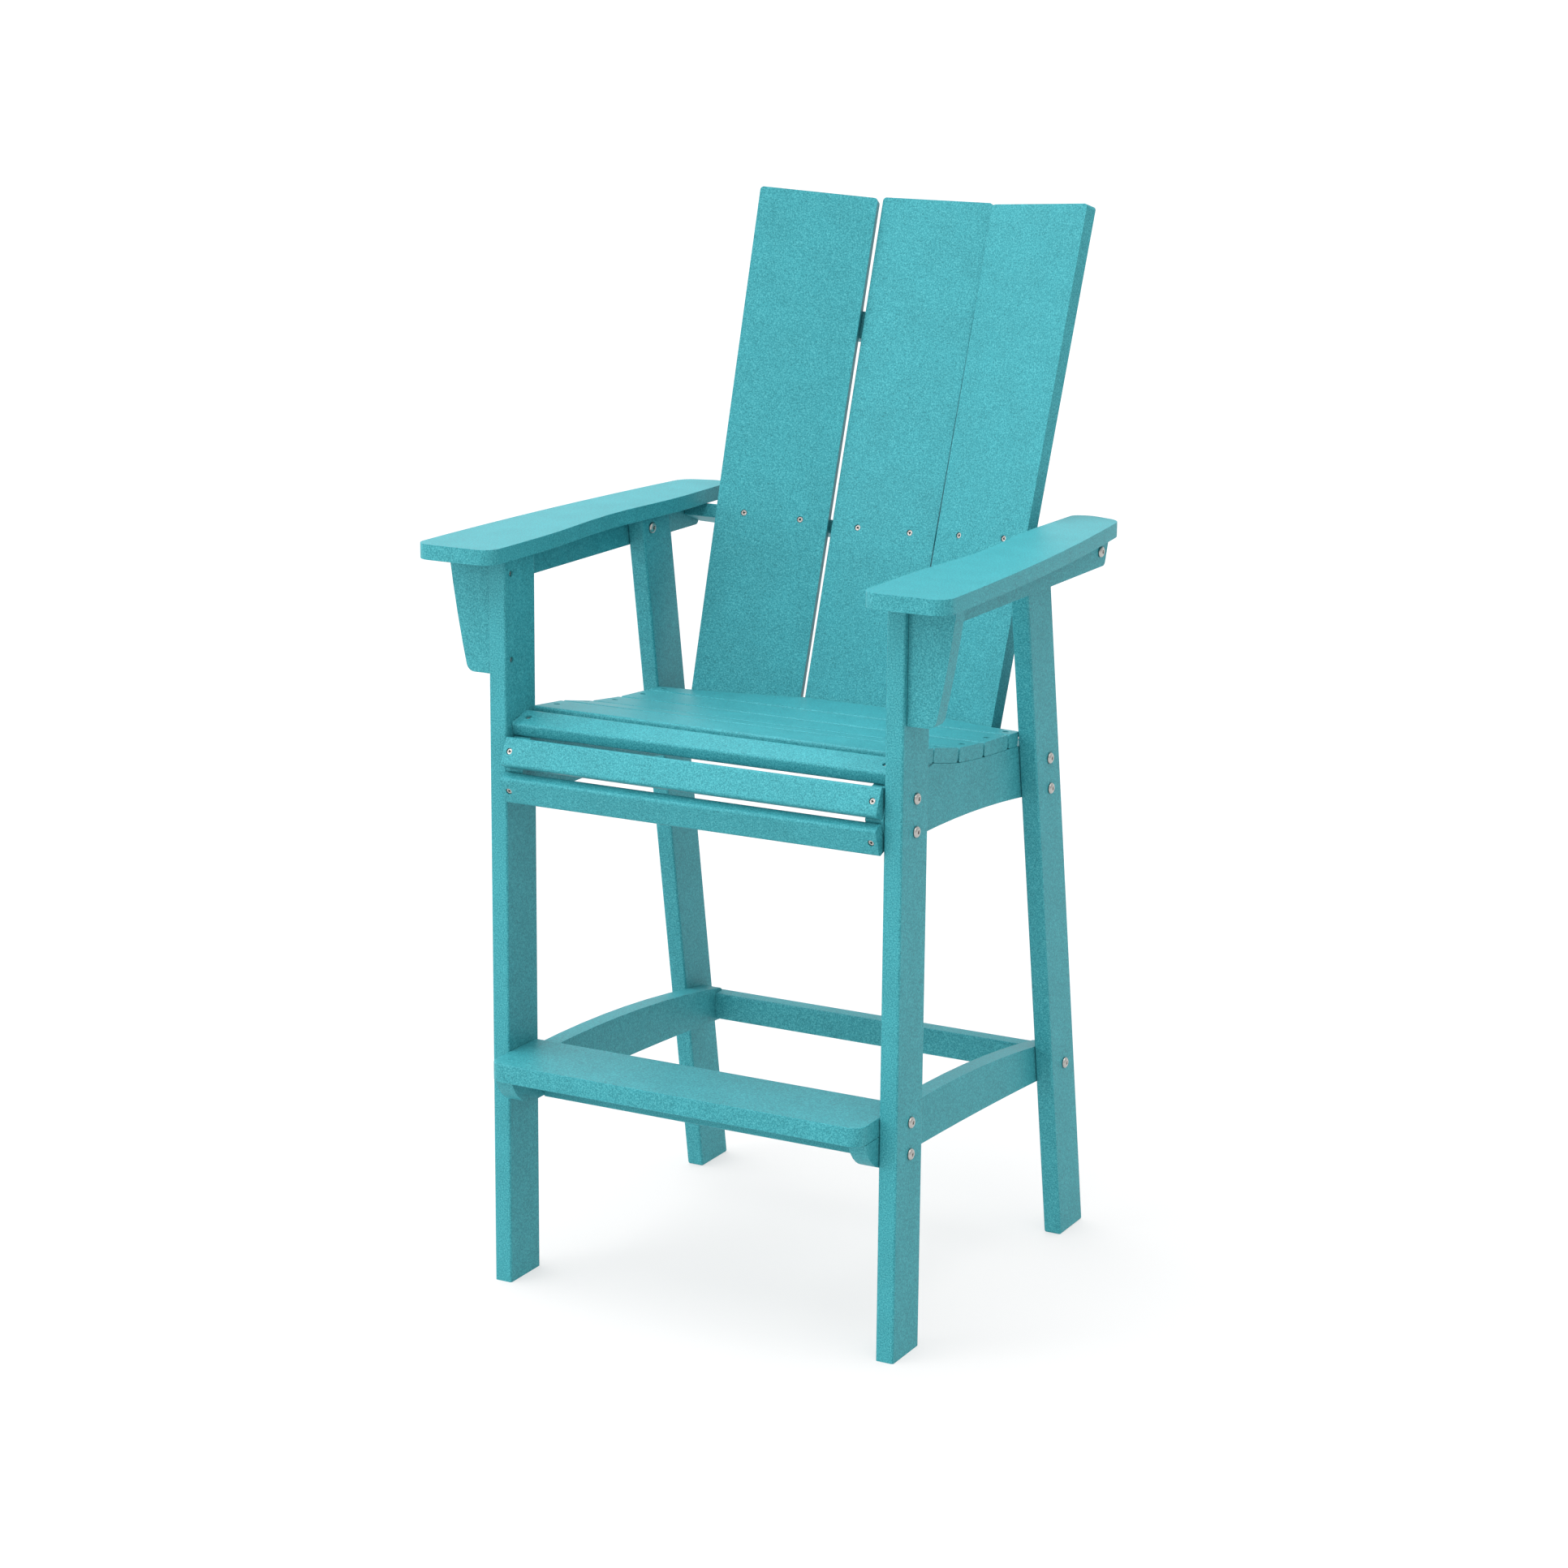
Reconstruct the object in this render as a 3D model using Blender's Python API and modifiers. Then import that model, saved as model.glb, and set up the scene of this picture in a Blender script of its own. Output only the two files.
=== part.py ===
"""Bar-height adirondack chair in plastic lumber, with a footrest.

The chair faces -Y and stands on Z = 0. Left and right are the sitter's, so left is +X. While it is
modelled, Y = 0 is the front face of the front legs. At the end the whole chair is moved along Y, so
that the origin is on the floor under the middle of its box.
"""

import math

import bmesh
import bpy
from mathutils import Matrix, Vector

# Lumber stock
BOARD = 0.025
SLAT = 0.019
ARM_THICK = 0.020
FULL_WIDTH = 0.073
HALF_WIDTH = 0.038
GAP = 0.0003

# Overall sizes
SEAT_HALF = 0.2707
ARM_UNDER = 0.977

# Rounding: boards are rounded along their length and sharp where they are cut to length
EDGE = 0.003
SLAT_EDGE = 0.0038
ARM_EDGE = 0.0065
SAWN_EDGE = 0.0008
EDGE_STEPS = 3
EDGE_ANGLE = math.radians(40)
ARC_STEPS = 5
LONG_ARC_STEPS = 8

# Rear legs
REAR_FOOT_Y = 0.521
REAR_LEG_LEAN = math.radians(10.03)

# Arms, seen from above. They overlap the legs across the chair, and their tails are behind the
# middle of the brace that joins them.
ARM_FRONT_Y = -0.051
ARM_OUTER_LAP = 0.0789
ARM_INNER_LAP = 0.012
ARM_SIDE_RADIUS = 4.58
ARM_OUTER_TAIL = 0.037
ARM_CREST_TAIL = 0.0532
ARM_CREST_INSET = 0.025
ARM_INNER_TAIL = 0.0432
ARM_INNER_TAIL_INSET = 0.0025
ARM_FRONT_CORNER = 0.022
ARM_REAR_CORNER = 0.030
ARM_REAR_INNER_CORNER = 0.012
SCOOP_DEPTH = 0.011
SCOOP_START_Y = 0.071
SCOOP_LENGTH = 0.378

# Arm rails and brackets. A bracket reaches down by a share of the leg between arm and seat bolts.
ARM_RAIL_TAIL = 0.0157
ARM_RAIL_CORNER = 0.008
BRACKET_Y = 0.0085
BRACKET_TOP_LAP = 0.064
BRACKET_FOOT_LAP = 0.0375
BRACKET_REACH = 0.6112
BRACKET_BULGE = 0.0018
BRACKET_SIDE_STEPS = 4
BRACKET_CORNER = 0.012

# Seat, as a chain of slats from the front to the back
SEAT_FRONT = (0.0127, 0.7622)
NOSE_WIDTH = 0.040
NOSE_TILT = math.radians(16.4)
NOSE_GAP = 0.0153
SEAT_SLAT_WIDTH = 0.072
SEAT_SLAT_GAP = 0.0032
SEAT_TILTS = tuple(math.radians(tilt) for tilt in (-5.5, -11.5, -6.5, -3.8))
REAR_SLAT_WIDTH = 0.095
REAR_SLAT_TILT = math.radians(-3.8)
REAR_SLAT_TAIL = math.radians(8.0)
SEAT_TO_BACK = 0.0015

# Seat rails
RAIL_NOSE = (-0.0013, 0.7043)
UPPER_FACET_TILT = math.radians(24.0)
LOWER_FACET_TILT = math.radians(20.0)
RAIL_BOTTOM = 0.664
RAIL_FLAT_END_Y = 0.112
RAIL_BELLY_RADIUS = 2.4
RAIL_REAR_Y = 0.480
RAIL_CORNER = 0.010

# Aprons on the front facets of the seat rails
APRON_SHORT = 0.0017
APRON_OFFSET = 0.0017

# Back: a leaning frame with its origin on the centre slat's front face, at the seat
BACK_ORIGIN = (0.454, 0.7345)
BACK_LEAN = math.radians(19.3)
SLAT_LENGTH = 0.765
SLAT_TOP_WIDTH = 0.166
SLAT_FOOT_WIDTH = 0.151
SLAT_CORNER = 0.005
CENTRE_SLAT_TOP = 0.6975
WING_TOP = (0.1661, -0.032, 0.692)
WING_YAW = math.radians(16.4)
WING_CANT = math.radians(1.13)
WING_PITCH = math.radians(0.22)

# Braces behind the back slats
BRACE_SIDE_GAP = 0.0015
ARM_BRACE_END_FRONT = -0.0268
ARM_BRACE_END_DEPTH = 0.048
ARM_BRACE_DEPTH = 0.041
UPPER_BRACE_FOOT = 0.501
UPPER_BRACE_HALF = 0.215
UPPER_BRACE_DEPTH = 0.028
UPPER_BRACE_END_DEPTH = 0.025
LOWER_BRACE_FOOT = -0.052
LOWER_BRACE_DEPTH = 0.041
LOWER_BRACE_END_DEPTH = 0.036

# Footrest
FOOTREST_UNDER = 0.298
FOOTREST_FRONT_Y = -0.051
FOOTREST_REAR_Y = 0.064
FOOTREST_CORNER = 0.018
STRIP_FOOT = 0.2515
STRETCHER_TOP = 0.3145
STRETCHER_TOP_Y = 0.061
STRETCHER_TOP_RADIUS = 2.7
STRETCHER_BOTTOM = 0.2537
STRETCHER_FLAT_END_Y = 0.060
STRETCHER_REAR_BOTTOM = 0.2265
STRETCHER_REAR_Y = 0.535
STRETCHER_SAG = 0.003
STRETCHER_FRONT_RADIUS = 0.061
STRETCHER_FRONT_Y = 0.023
STRETCHER_CORNER = 0.015
REAR_STRETCHER_FOOT = 0.2317

# Bolts: button heads with a hex socket
BOLT_HEAD_RADIUS = 0.0075
BOLT_HEAD_HEIGHT = 0.004
BOLT_RADIUS = 0.0032
BOLT_SOCKET = 0.0025
BOLT_SOCKET_DEPTH = 0.0025
BOLT_CROWN = ((0.55, 1.0), (0.85, 0.7), (1.0, 0.25))
BOLT_BITE = 0.018
BOLT_END_BITE = 0.032
HOLE_CLEARANCE = 0.0004
HOLE_STEPS = 14
ROUND_STEPS = 12
SHARP_ANGLE = math.radians(35)
WELD = 1e-6

# Bolt places
LEG_BOLT_SETBACK = 0.002
SEAT_BOLT_RISE = 0.022
SEAT_BOLT_SPACING = 0.042
REAR_SEAT_BOLT_STEP = 0.005
LOWER_BRACE_BOLT_DEPTH = -0.001
LOWER_BRACE_BOLT_DROP = 0.002
STRETCHER_BOLT_RISE = 0.015
STRETCHER_BOLT_INSET = 0.0184
REAR_STRETCHER_BOLT_RISE = 0.0203
ARM_LEG_BOLT_DROP = 0.0144
ARM_LEG_BOLT_DEPTH = 0.0218

# Screws: sunk flat heads
SCREW_HEAD_RADIUS = 0.004
SCREW_RADIUS = 0.0021
SCREW_HEAD_HEIGHT = 0.0025
SCREW_SINK = 0.0012
SCREW_RECESS = 0.0014
SCREW_RECESS_DEPTH = 0.0015
SCREW_BITE = 0.018
SCREW_MOUTH_RISE = 0.001
BACK_SCREW_SPREAD = 0.0395
APRON_SCREW_INSET = 0.0107

# Faces that several parts share
LEG_INNER = SEAT_HALF + GAP
LEG_OUTER = LEG_INNER + BOARD
OUTER_RAIL_INNER = LEG_OUTER + GAP
OUTER_RAIL_OUTER = OUTER_RAIL_INNER + BOARD
RAIL_INNER = SEAT_HALF - BOARD
CROSS_HALF = RAIL_INNER - GAP
UNDER_ARM = ARM_UNDER - GAP
ARM_RAIL_FOOT = ARM_UNDER - HALF_WIDTH
ARM_INNER_X = LEG_INNER - ARM_INNER_LAP
ARM_FRONT_X = LEG_OUTER + ARM_OUTER_LAP
BRACKET_REAR_Y = BRACKET_Y + BOARD
SEAT_BOLT_Z = RAIL_BOTTOM + SEAT_BOLT_RISE
BRACKET_HEIGHT = BRACKET_REACH * (UNDER_ARM - SEAT_BOLT_Z - SEAT_BOLT_SPACING)
SIDES = ((1, "left"), (-1, "right"))

TEAL = (0.066, 0.392, 0.442)
STEEL = (0.56, 0.57, 0.58)


def new_collection(name, hidden=False):
    made = bpy.data.collections.new(name)
    bpy.context.scene.collection.children.link(made)
    made.hide_render = hidden
    return made


def make_material(name, colour, roughness, metallic):
    made = bpy.data.materials.new(name)
    made.use_nodes = True
    shader = made.node_tree.nodes["Principled BSDF"]
    shader.inputs["Base Color"].default_value = (*colour, 1.0)
    shader.inputs["Roughness"].default_value = roughness
    shader.inputs["Metallic"].default_value = metallic
    return made


def finish(obj, name, material):
    """Names an object, gives it its own material and puts it in the chair's collection."""
    obj.name = name
    obj.data.name = name
    obj.data.materials.clear()
    obj.data.materials.append(material)
    for holder in list(obj.users_collection):
        holder.objects.unlink(obj)
    CHAIR.objects.link(obj)
    obj.parent = ORIGIN
    return obj


def evaluated_mesh(obj):
    """The mesh of an object with its modifiers, as a new mesh with its caps welded."""
    graph = bpy.context.evaluated_depsgraph_get()
    mesh = bpy.data.meshes.new_from_object(obj.evaluated_get(graph))
    shape = bmesh.new()
    shape.from_mesh(mesh)
    bmesh.ops.remove_doubles(shape, verts=shape.verts, dist=WELD)
    bmesh.ops.recalc_face_normals(shape, faces=shape.faces)
    shape.to_mesh(mesh)
    shape.free()
    return mesh


def remove(obj):
    bpy.data.objects.remove(obj, do_unlink=True)


def plank(name, size, place, radius=EDGE):
    """A straight board, centred on a placing matrix and rounded along its longest side."""
    shape = bmesh.new()
    bmesh.ops.create_cube(shape, size=1, matrix=Matrix.Diagonal((*size, 1.0)))
    axis = size.index(max(size))
    long_edges = [
        edge for edge in shape.edges if abs(edge.verts[0].co[axis] - edge.verts[1].co[axis]) > radius
    ]
    bmesh.ops.bevel(
        shape, geom=long_edges, offset=radius, segments=EDGE_STEPS, profile=0.5, affect="EDGES"
    )
    mesh = bpy.data.meshes.new(name)
    shape.to_mesh(mesh)
    shape.free()
    obj = bpy.data.objects.new(name, mesh)
    obj.matrix_world = place
    return finish(obj, name, lumber(name))


def sawn_board(name, outline, thickness, place, radius=EDGE):
    """A board sawn to a flat outline, with its mid-plane on the XY plane of a placing matrix."""
    curve = bpy.data.curves.new(name, "CURVE")
    curve.dimensions = "2D"
    curve.fill_mode = "BOTH"
    curve.extrude = thickness / 2
    line = curve.splines.new("POLY")
    line.points.add(len(outline) - 1)
    for point, (u, v) in zip(line.points, outline):
        point.co = (u, v, 0.0, 1.0)
    line.use_cyclic_u = True
    pattern = bpy.data.objects.new(name + "_outline", curve)
    bpy.context.scene.collection.objects.link(pattern)
    mesh = evaluated_mesh(pattern)
    remove(pattern)
    shape = bmesh.new()
    shape.from_mesh(mesh)
    bmesh.ops.dissolve_limit(
        shape, angle_limit=math.radians(0.01), verts=shape.verts, edges=shape.edges
    )
    shape.to_mesh(mesh)
    shape.free()
    obj = bpy.data.objects.new(name, mesh)
    obj.matrix_world = place
    bevel = obj.modifiers.new("rounding", "BEVEL")
    bevel.width = radius
    bevel.segments = EDGE_STEPS
    bevel.limit_method = "ANGLE"
    bevel.angle_limit = EDGE_ANGLE
    return finish(obj, name, lumber(name))


def lumber(name):
    return make_material(name + "_lumber", TEAL, 0.45, 0.0)


def cutter(obj, name):
    """Keeps a tool out of the model and of the render."""
    obj.name = name
    for holder in list(obj.users_collection):
        holder.objects.unlink(obj)
    CUTTERS.objects.link(obj)
    obj.hide_render = True
    obj.display_type = "WIRE"
    obj.parent = ORIGIN
    return obj


def cut(obj, tool):
    boolean = obj.modifiers.new(tool.name, "BOOLEAN")
    boolean.operation = "DIFFERENCE"
    boolean.solver = "EXACT"
    boolean.object = tool


def corner(point, before, after, radius):
    """The arc that rounds the corner at a point between its two neighbours."""
    here = Vector(point)
    back = (Vector(before) - here).normalized()
    ahead = (Vector(after) - here).normalized()
    half = back.angle(ahead) / 2
    reach = radius / math.tan(half)
    centre = here + (back + ahead).normalized() * radius / math.sin(half)
    start = here + back * reach - centre
    turn = start.angle_signed(here + ahead * reach - centre)
    arc = []
    for step in range(ARC_STEPS + 1):
        spoke = start.copy()
        spoke.rotate(Matrix.Rotation(-turn * step / ARC_STEPS, 2))
        arc.append(tuple(centre + spoke))
    return arc


def outline(corners):
    """A closed outline from (u, v, radius) corners. A radius of 0 leaves a corner sharp."""
    points = []
    for index, (u, v, radius) in enumerate(corners):
        before = corners[index - 1][:2]
        after = corners[(index + 1) % len(corners)][:2]
        points += corner((u, v), before, after, radius) if radius else [(u, v)]
    return points


def bowed(start, end, bulge, steps=LONG_ARC_STEPS):
    """Corners on a shallow arc from start to end, which stands out by bulge to the right."""
    start, end = Vector(start), Vector(end)
    along = end - start
    right = Vector((along.y, -along.x)).normalized()
    corners = []
    for step in range(steps + 1):
        share = step / steps
        point = start + along * share + right * bulge * 4 * share * (1 - share)
        corners.append((point.x, point.y, 0))
    return corners


def mirrored(half):
    """A closed outline from the half on the +X side, listed front to back."""
    return half + [(-x, y, radius) for x, y, radius in reversed(half)]


def crossing(point, angle, other, other_angle):
    """Where two lines in the YZ plane meet, each with a point and its angle above +Y."""
    step = Vector((math.cos(angle), math.sin(angle)))
    other_step = Vector((math.cos(other_angle), math.sin(other_angle)))
    gap = Vector(other) - Vector(point)
    reach = gap.cross(other_step) / step.cross(other_step)
    return Vector(point) + step * reach


def from_side(x):
    """Places an outline drawn in Y and Z, with its mid-plane at x."""
    return Matrix(((0, 0, 1, x), (1, 0, 0, 0), (0, 1, 0, 0), (0, 0, 0, 1)))


def from_above(z):
    return Matrix.Translation((0, 0, z))


def from_front(y):
    """Places an outline drawn in X and Z, with its mid-plane at y."""
    return Matrix(((1, 0, 0, 0), (0, 0, -1, y), (0, 1, 0, 0), (0, 0, 0, 1)))


def tilted(y, z, tilt):
    """A frame at x = 0 whose Y axis rises by the tilt."""
    return Matrix.Translation((0, y, z)) @ Matrix.Rotation(tilt, 4, "X")


# Legs


def front_leg(side, word):
    size = (BOARD, FULL_WIDTH, UNDER_ARM)
    middle = (side * (LEG_INNER + BOARD / 2), FULL_WIDTH / 2, UNDER_ARM / 2)
    return plank(f"front_leg_{word}", size, Matrix.Translation(middle))


def rear_leg_y(z):
    """The front edge of the rear legs at height z."""
    return REAR_FOOT_Y - z * math.tan(REAR_LEG_LEAN)


def rear_leg(side, word):
    depth = FULL_WIDTH / math.cos(REAR_LEG_LEAN)
    shape = [
        (rear_leg_y(0), 0),
        (rear_leg_y(0) + depth, 0),
        (rear_leg_y(UNDER_ARM) + depth, UNDER_ARM),
        (rear_leg_y(UNDER_ARM), UNDER_ARM),
    ]
    place = from_side(side * (LEG_INNER + BOARD / 2))
    return sawn_board(f"rear_leg_{word}", shape, BOARD, place)


# Arms and what holds them


def arm_side_x(y):
    """The outer edge of an arm: a long arc that starts square to the front edge."""
    run = y - ARM_FRONT_Y
    return ARM_FRONT_X - ARM_SIDE_RADIUS + math.sqrt(ARM_SIDE_RADIUS**2 - run**2)


def arm_outline():
    rear = arm_brace_end().y
    corners = [
        (ARM_INNER_X, ARM_FRONT_Y, ARM_FRONT_CORNER),
        (ARM_FRONT_X, ARM_FRONT_Y, ARM_FRONT_CORNER),
    ]
    side_length = rear + ARM_OUTER_TAIL - ARM_FRONT_Y
    for step in range(1, LONG_ARC_STEPS + 1):
        y = ARM_FRONT_Y + side_length * step / LONG_ARC_STEPS
        corners.append((arm_side_x(y), y, ARM_REAR_CORNER if step == LONG_ARC_STEPS else 0))
    corners.append((ARM_INNER_X + ARM_CREST_INSET, rear + ARM_CREST_TAIL, ARM_REAR_CORNER))
    inner_tail = (ARM_INNER_X + ARM_INNER_TAIL_INSET, rear + ARM_INNER_TAIL)
    corners.append((*inner_tail, ARM_REAR_INNER_CORNER))
    for step in range(LONG_ARC_STEPS + 1):
        share = 1 - step / LONG_ARC_STEPS
        scoop = SCOOP_DEPTH * (1 - math.cos(2 * math.pi * share)) / 2
        corners.append((ARM_INNER_X + scoop, SCOOP_START_Y + SCOOP_LENGTH * share, 0))
    return outline(corners)


def arm(side, word):
    shape = [(side * x, y) for x, y in arm_outline()]
    place = from_above(ARM_UNDER + ARM_THICK / 2)
    return sawn_board(f"arm_{word}", shape, ARM_THICK, place, ARM_EDGE)


def arm_rail(side, word):
    front = BRACKET_REAR_Y + GAP
    rear = arm_brace_end().y + ARM_RAIL_TAIL
    lean = HALF_WIDTH * math.tan(BACK_LEAN)
    shape = outline(
        [
            (front, ARM_RAIL_FOOT, 0),
            (rear, ARM_RAIL_FOOT, ARM_RAIL_CORNER),
            (rear + lean, UNDER_ARM, 0),
            (front, UNDER_ARM, 0),
        ]
    )
    place = from_side(side * (OUTER_RAIL_INNER + BOARD / 2))
    return sawn_board(f"arm_rail_{word}", shape, BOARD, place)


def arm_bracket(side, word):
    foot = (LEG_OUTER + BRACKET_FOOT_LAP, UNDER_ARM - BRACKET_HEIGHT)
    head = (LEG_OUTER + BRACKET_TOP_LAP, UNDER_ARM)
    taper = bowed(foot, head, BRACKET_BULGE, steps=BRACKET_SIDE_STEPS)
    shape = outline(
        [
            (OUTER_RAIL_INNER, UNDER_ARM, 0),
            (OUTER_RAIL_INNER, foot[1], 0),
            (*foot, BRACKET_CORNER),
            *taper[1:],
        ]
    )
    shape = [(side * x, z) for x, z in shape]
    place = from_front(BRACKET_Y + BOARD / 2)
    return sawn_board(f"arm_bracket_{word}", shape, BOARD, place)


# Seat


def seat_chain():
    """The top front edge, width and tilt of each seat slat, from the nose to the back."""
    widths = [NOSE_WIDTH] + [SEAT_SLAT_WIDTH] * len(SEAT_TILTS) + [REAR_SLAT_WIDTH]
    tilts = [NOSE_TILT, *SEAT_TILTS, REAR_SLAT_TILT]
    chain = []
    y, z = SEAT_FRONT
    for index, (width, tilt) in enumerate(zip(widths, tilts)):
        chain.append((y, z, width, tilt))
        following = tilts[min(index + 1, len(tilts) - 1)]
        between = (tilt + following) / 2
        gap = NOSE_GAP if index == 0 else SEAT_SLAT_GAP
        y += width * math.cos(tilt) + gap * math.cos(between)
        z += width * math.sin(tilt) + gap * math.sin(between)
    return chain


def under_slat(y, z, width, tilt):
    """The front and rear points of the line that a rail keeps under a slat."""
    down = SLAT + GAP
    front = (y + down * math.sin(tilt), z - down * math.cos(tilt))
    rear = (front[0] + width * math.cos(tilt), front[1] + width * math.sin(tilt))
    return front, rear


def seat_slat(name, y, z, width, tilt):
    place = tilted(y, z, tilt) @ Matrix.Translation((0, width / 2, -SLAT / 2))
    return plank(name, (2 * SEAT_HALF, width, SLAT), place, SLAT_EDGE)


def seat_slats():
    chain = seat_chain()
    made = [seat_slat("seat_nose_slat", *chain[0])]
    for number, spot in enumerate(chain[1:-1], 1):
        made.append(seat_slat(f"seat_slat_{number}", *spot))
    rear = seat_slat("seat_rear_slat", *chain[-1])
    cut(rear, back_clearance())
    return [*made, rear]


def back_clearance():
    """A leaning block where the back stands, which shapes the rear slat's rear edge."""
    width_at_seat = slat_half_width(CENTRE_SLAT_TOP)
    inner = wing_face_depth(width_at_seat, 0, 0) - SEAT_TO_BACK
    outer_x = wing_point(slat_half_width(WING_TOP[2]), 0, 0).x + SEAT_TO_BACK
    outer = wing_face_depth(outer_x, 0, 0) - SEAT_TO_BACK
    reach = SEAT_HALF + BOARD
    tail = outer - (reach - outer_x) * math.tan(REAR_SLAT_TAIL)
    side = width_at_seat + SEAT_TO_BACK
    half = [
        (side, -SEAT_TO_BACK, 0),
        (side, inner, 0),
        (outer_x, outer, 0),
        (reach, tail, 0),
        (reach, FULL_WIDTH, 0),
    ]
    shape = outline(mirrored(half))
    curve_height = 4 * SLAT
    block = sawn_board("back_clearance", shape, curve_height, back_frame())
    block.modifiers.clear()
    return cutter(block, "back_clearance")


def apron_spot(tilt, direction):
    """The middle of an apron's rear face and its place, on the upper or lower facet."""
    along = APRON_OFFSET + HALF_WIDTH / 2
    y = RAIL_NOSE[0] + along * math.sin(tilt)
    z = RAIL_NOSE[1] + direction * along * math.cos(tilt)
    return tilted(y, z, -direction * tilt)


def apron(name, tilt, direction):
    place = apron_spot(tilt, direction) @ Matrix.Translation((0, -GAP - SLAT / 2, 0))
    size = (2 * (SEAT_HALF - APRON_SHORT), SLAT, HALF_WIDTH)
    return plank(name, size, place, SLAT_EDGE)


def seat_rail_outline():
    chain = seat_chain()
    top = []
    for spot in chain:
        top += under_slat(*spot)
    up_facet = math.pi / 2 - UPPER_FACET_TILT
    down_facet = LOWER_FACET_TILT - math.pi / 2
    shoulder = crossing(RAIL_NOSE, up_facet, top[0], NOSE_TILT)
    chin = crossing(RAIL_NOSE, down_facet, (0, RAIL_BOTTOM), 0)
    rear_top = crossing(top[-1], REAR_SLAT_TILT, (RAIL_REAR_Y, 0), math.pi / 2)
    belly = []
    for step in range(LONG_ARC_STEPS + 1):
        run = (RAIL_REAR_Y - RAIL_FLAT_END_Y) * step / LONG_ARC_STEPS
        drop = RAIL_BELLY_RADIUS - math.sqrt(RAIL_BELLY_RADIUS**2 - run**2)
        belly.append((RAIL_FLAT_END_Y + run, RAIL_BOTTOM - drop, 0))
    corners = [(*RAIL_NOSE, 0), (*chin, 0), *belly, (*rear_top, RAIL_CORNER)]
    corners += [(y, z, 0) for y, z in reversed(top[1:-1])]
    corners.append((*shoulder, 0))
    return outline(corners)


def seat_rail(side, word):
    place = from_side(side * (RAIL_INNER + BOARD / 2))
    return sawn_board(f"seat_rail_{word}", seat_rail_outline(), BOARD, place, SAWN_EDGE)


# Back


def back_frame():
    """X across, Y backwards out of the back, Z up along it."""
    return tilted(*BACK_ORIGIN, -BACK_LEAN)


def slat_frame(side):
    """The frame at the middle of a slat's top edge, on its front face, within the back's."""
    if side == 0:
        return Matrix.Translation((0, 0, CENTRE_SLAT_TOP))
    x, depth, top = WING_TOP
    turn = Matrix.Rotation(-side * WING_YAW, 4, "Z")
    turn @= Matrix.Rotation(side * WING_CANT, 4, "Y")
    turn @= Matrix.Rotation(WING_PITCH, 4, "X")
    return Matrix.Translation((side * x, depth, top)) @ turn


def slat_half_width(below_top):
    share = below_top / SLAT_LENGTH
    return (SLAT_TOP_WIDTH + (SLAT_FOOT_WIDTH - SLAT_TOP_WIDTH) * share) / 2


def wing_point(across, depth, height):
    """A point of the left wing slat in the back's frame, at a height above the seat."""
    return slat_frame(1) @ Vector((across, depth, height - WING_TOP[2]))


def wing_face_depth(x, depth, height):
    """How far back a face of the left wing slat lies at x. Its front face is depth 0."""
    point = wing_point(0, depth, height)
    across = slat_frame(1).to_3x3() @ Vector((1, 0, 0))
    return point.y + (x - point.x) * across.y / across.x


def back_slat(side, name):
    top = SLAT_TOP_WIDTH / 2
    foot = SLAT_FOOT_WIDTH / 2
    shape = outline(
        [
            (-foot, -SLAT_LENGTH, SLAT_CORNER),
            (foot, -SLAT_LENGTH, SLAT_CORNER),
            (top, 0, SLAT_CORNER),
            (-top, 0, SLAT_CORNER),
        ]
    )
    place = back_frame() @ slat_frame(side) @ from_front(SLAT / 2)
    return sawn_board(name, shape, SLAT, place, SLAT_EDGE)


def brace_front(foot, top, half_length, end_front=None):
    """Half of a brace's front edge, which follows the rear faces of the three slats.

    The wings lean forwards a little against the back's frame, so its foot is what they touch.
    """
    side = slat_half_width(CENTRE_SLAT_TOP - top) + BRACE_SIDE_GAP
    line = [(0, SLAT + GAP, 0), (side, SLAT + GAP, 0)]
    line.append((side, wing_face_depth(side, SLAT + GAP, foot), 0))
    if end_front is None:
        line.append((half_length, wing_face_depth(half_length, SLAT + GAP, foot), 0))
        return line
    slope = wing_face_depth(1, 0, 0) - wing_face_depth(0, 0, 0)
    knee = side + (end_front - line[-1][1]) / slope
    return line + [(knee, end_front, 0), (half_length, end_front, 0)]


def brace(name, foot, thickness, front, depth, end_depth):
    """A brace with a rear edge that bows back in the middle, lying square to the back."""
    end_x, end_front = front[-1][:2]
    middle_back = front[0][1] + depth
    end_back = end_front + end_depth
    rear = bowed((end_x, end_back), (-end_x, end_back), middle_back - end_back)
    left = [(-x, y, radius) for x, y, radius in reversed(front[1:])]
    shape = outline([*left, *front[1:], *rear])
    place = back_frame() @ from_above(foot + thickness / 2)
    return sawn_board(name, shape, thickness, place)


def arm_brace_foot():
    """The arm-level brace's front corner comes up to the arms' undersides."""
    rise = UNDER_ARM - BACK_ORIGIN[1] + ARM_BRACE_END_FRONT * math.sin(BACK_LEAN)
    return rise / math.cos(BACK_LEAN) - SLAT


def arm_brace_end():
    """The middle of the arm-level brace's ends, where the arm rails are bolted to it."""
    depth = ARM_BRACE_END_FRONT + ARM_BRACE_END_DEPTH / 2
    return back_frame() @ Vector((0, depth, arm_brace_foot() + SLAT / 2))


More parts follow.
